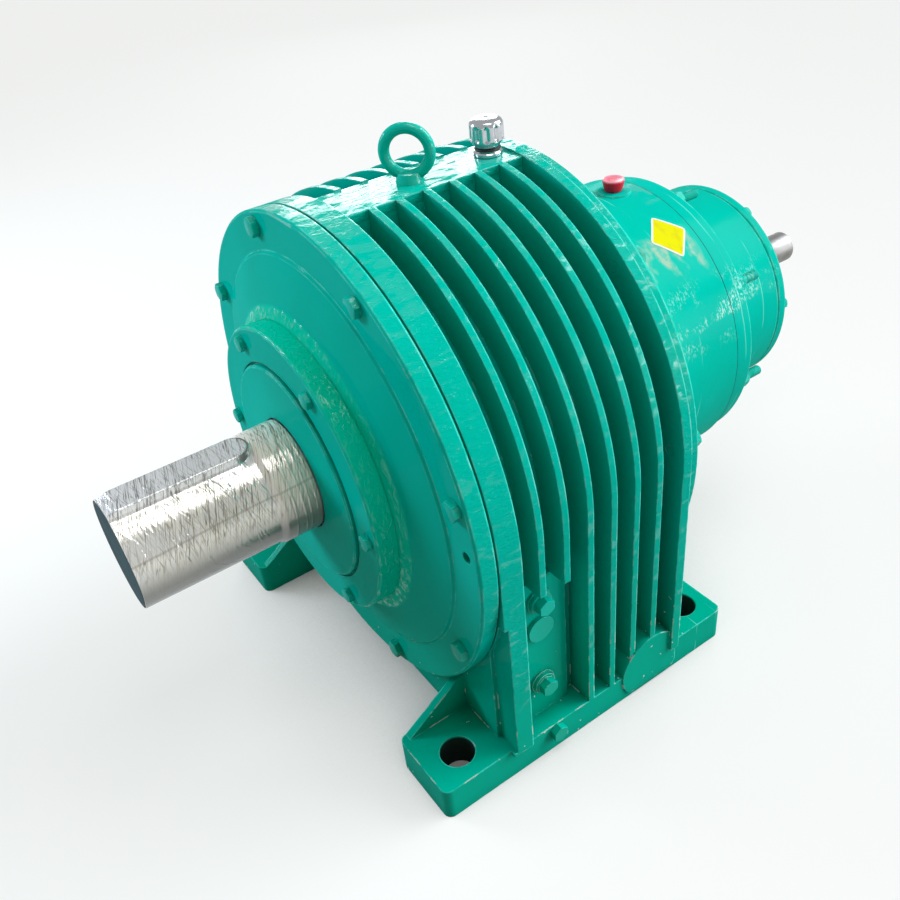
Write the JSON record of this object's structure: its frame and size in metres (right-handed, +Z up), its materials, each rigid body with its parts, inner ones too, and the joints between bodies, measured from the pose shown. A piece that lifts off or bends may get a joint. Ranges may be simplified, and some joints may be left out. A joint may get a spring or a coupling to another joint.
{
  "type": "planetary gear reducer",
  "caption": "Foot-mounted planetary gear reducer: finned cast housing, stepped ring-gear casings behind it, keyed low-speed shaft at one end and a slim high-speed shaft at the other.",
  "frame": {"origin": "centre of the four foot holes, on the plane the feet stand on", "axes": "+Z up; shafts along Y, low-speed output end at -Y and high-speed input end at +Y; oil pad with its plugs on the +X side"},
  "size_m": [0.462, 0.831, 0.5342],
  "materials": {
    "green_paint": "gloss",
    "shaft_steel": "satin",
    "gear_steel": "satin",
    "bearing_steel": "polished",
    "breather_chrome": "polished",
    "bush_bronze": "satin",
    "seal_rubber": "matte",
    "vent_red": "gloss"
  },
  "bodies": {
    "casing": {"main_housing": "green_paint", "output_end_cover": "green_paint", "output_end_cover_bolts": "green_paint", "output_bearing_cap": "green_paint", "output_bearing_cap_bolts": "green_paint", "output_oil_seal": "seal_rubber", "output_ring_gear": "gear_steel", "rear_cover": "green_paint", "rear_cover_bolts": "green_paint", "middle_ring_gear": "green_paint", "middle_flange": "green_paint", "middle_clamp_bolts": "green_paint", "small_ring_gear": "green_paint", "input_end_cover": "green_paint", "small_clamp_bolts": "green_paint", "input_bearing_cap": "green_paint", "input_bearing_cap_screws": "green_paint", "input_oil_seal": "seal_rubber", "lifting_eye_bolt": "green_paint", "breather_body": "breather_chrome", "breather_cap": "breather_chrome", "vent_plug": "vent_red", "oil_level_plugs": "green_paint", "oil_level_washers": "green_paint", "blank_plug": "green_paint", "drain_plug": "green_paint", "output_bearing_outer_rings": "bearing_steel", "input_bearing_outer_rings": "bearing_steel"},
    "output_rotor": {"output_shaft": "shaft_steel", "output_key": "shaft_steel", "output_carrier_plate": "gear_steel", "output_carrier_screws": "gear_steel", "output_planet_pins": "gear_steel", "output_planet_bushes": "bush_bronze", "output_bearing_inner_rings": "bearing_steel"},
    "middle_rotor": {"middle_carrier": "gear_steel", "output_sun_shaft": "gear_steel", "middle_planet_pins": "gear_steel", "middle_planet_bushes": "bush_bronze"},
    "input_carrier_rotor": {"input_carrier": "gear_steel", "middle_sun_shaft": "gear_steel", "input_planet_pins": "gear_steel", "input_planet_bushes": "bush_bronze"},
    "input_rotor": {"input_sun_shaft": "shaft_steel", "input_spacer": "gear_steel", "input_bearing_inner_rings": "bearing_steel"},
    "output_cages": {"output_bearing_rollers": "bearing_steel"},
    "input_cages": {"input_bearing_rollers": "bearing_steel"},
    "output_planet_1": {"output_planet_gear_1": "gear_steel"},
    "output_planet_2": {"output_planet_gear_2": "gear_steel"},
    "output_planet_3": {"output_planet_gear_3": "gear_steel"},
    "middle_planet_1": {"middle_planet_gear_1": "gear_steel"},
    "middle_planet_2": {"middle_planet_gear_2": "gear_steel"},
    "middle_planet_3": {"middle_planet_gear_3": "gear_steel"},
    "input_planet_1": {"input_planet_gear_1": "gear_steel"},
    "input_planet_2": {"input_planet_gear_2": "gear_steel"},
    "input_planet_3": {"input_planet_gear_3": "gear_steel"}
  },
  "joints": [
    {"name": "output_shaft_turn", "type": "hinge", "parent": "casing", "child": "output_rotor", "pos_m": [0, 0, 0.258], "axis": [0, 1, 0], "continuous": true},
    {"name": "middle_carrier_turn", "type": "hinge", "parent": "casing", "child": "middle_rotor", "pos_m": [0, 0, 0.258], "axis": [0, 1, 0], "continuous": true},
    {"name": "input_carrier_turn", "type": "hinge", "parent": "casing", "child": "input_carrier_rotor", "pos_m": [0, 0, 0.258], "axis": [0, 1, 0], "continuous": true},
    {"name": "input_shaft_turn", "type": "hinge", "parent": "casing", "child": "input_rotor", "pos_m": [0, 0, 0.258], "axis": [0, 1, 0], "continuous": true},
    {"name": "output_cages_turn", "type": "hinge", "parent": "casing", "child": "output_cages", "pos_m": [0, 0, 0.258], "axis": [0, 1, 0], "continuous": true},
    {"name": "input_cages_turn", "type": "hinge", "parent": "casing", "child": "input_cages", "pos_m": [0, 0, 0.258], "axis": [0, 1, 0], "continuous": true},
    {"name": "output_planet_1_turn", "type": "hinge", "parent": "output_rotor", "child": "output_planet_1", "pos_m": [0, 0, 0.3555], "axis": [0, 1, 0], "continuous": true},
    {"name": "output_planet_2_turn", "type": "hinge", "parent": "output_rotor", "child": "output_planet_2", "pos_m": [0.08444, 0, 0.20925], "axis": [0, 1, 0], "continuous": true},
    {"name": "output_planet_3_turn", "type": "hinge", "parent": "output_rotor", "child": "output_planet_3", "pos_m": [-0.08444, 0, 0.20925], "axis": [0, 1, 0], "continuous": true},
    {"name": "middle_planet_1_turn", "type": "hinge", "parent": "middle_rotor", "child": "middle_planet_1", "pos_m": [0, 0, 0.33113], "axis": [0, 1, 0], "continuous": true},
    {"name": "middle_planet_2_turn", "type": "hinge", "parent": "middle_rotor", "child": "middle_planet_2", "pos_m": [0.06333, 0, 0.22144], "axis": [0, 1, 0], "continuous": true},
    {"name": "middle_planet_3_turn", "type": "hinge", "parent": "middle_rotor", "child": "middle_planet_3", "pos_m": [-0.06333, 0, 0.22144], "axis": [0, 1, 0], "continuous": true},
    {"name": "input_planet_1_turn", "type": "hinge", "parent": "input_carrier_rotor", "child": "input_planet_1", "pos_m": [0, 0, 0.312], "axis": [0, 1, 0], "continuous": true},
    {"name": "input_planet_2_turn", "type": "hinge", "parent": "input_carrier_rotor", "child": "input_planet_2", "pos_m": [0.04677, 0, 0.231], "axis": [0, 1, 0], "continuous": true},
    {"name": "input_planet_3_turn", "type": "hinge", "parent": "input_carrier_rotor", "child": "input_planet_3", "pos_m": [-0.04677, 0, 0.231], "axis": [0, 1, 0], "continuous": true}
  ],
  "couplings": [
    {"joint": "middle_carrier_turn", "follows": "output_shaft_turn", "ratio": 5.2},
    {"joint": "input_carrier_turn", "follows": "output_shaft_turn", "ratio": 27.04},
    {"joint": "input_shaft_turn", "follows": "output_shaft_turn", "ratio": 129.79},
    {"joint": "output_cages_turn", "follows": "output_shaft_turn", "ratio": 0.42657},
    {"joint": "input_cages_turn", "follows": "output_shaft_turn", "ratio": 54.513},
    {"joint": "output_planet_1_turn", "follows": "output_shaft_turn", "ratio": -2.625},
    {"joint": "output_planet_2_turn", "follows": "output_shaft_turn", "ratio": -2.625},
    {"joint": "output_planet_3_turn", "follows": "output_shaft_turn", "ratio": -2.625},
    {"joint": "middle_planet_1_turn", "follows": "output_shaft_turn", "ratio": -13.65},
    {"joint": "middle_planet_2_turn", "follows": "output_shaft_turn", "ratio": -13.65},
    {"joint": "middle_planet_3_turn", "follows": "output_shaft_turn", "ratio": -13.65},
    {"joint": "input_planet_1_turn", "follows": "output_shaft_turn", "ratio": -73.394},
    {"joint": "input_planet_2_turn", "follows": "output_shaft_turn", "ratio": -73.394},
    {"joint": "input_planet_3_turn", "follows": "output_shaft_turn", "ratio": -73.394}
  ]
}
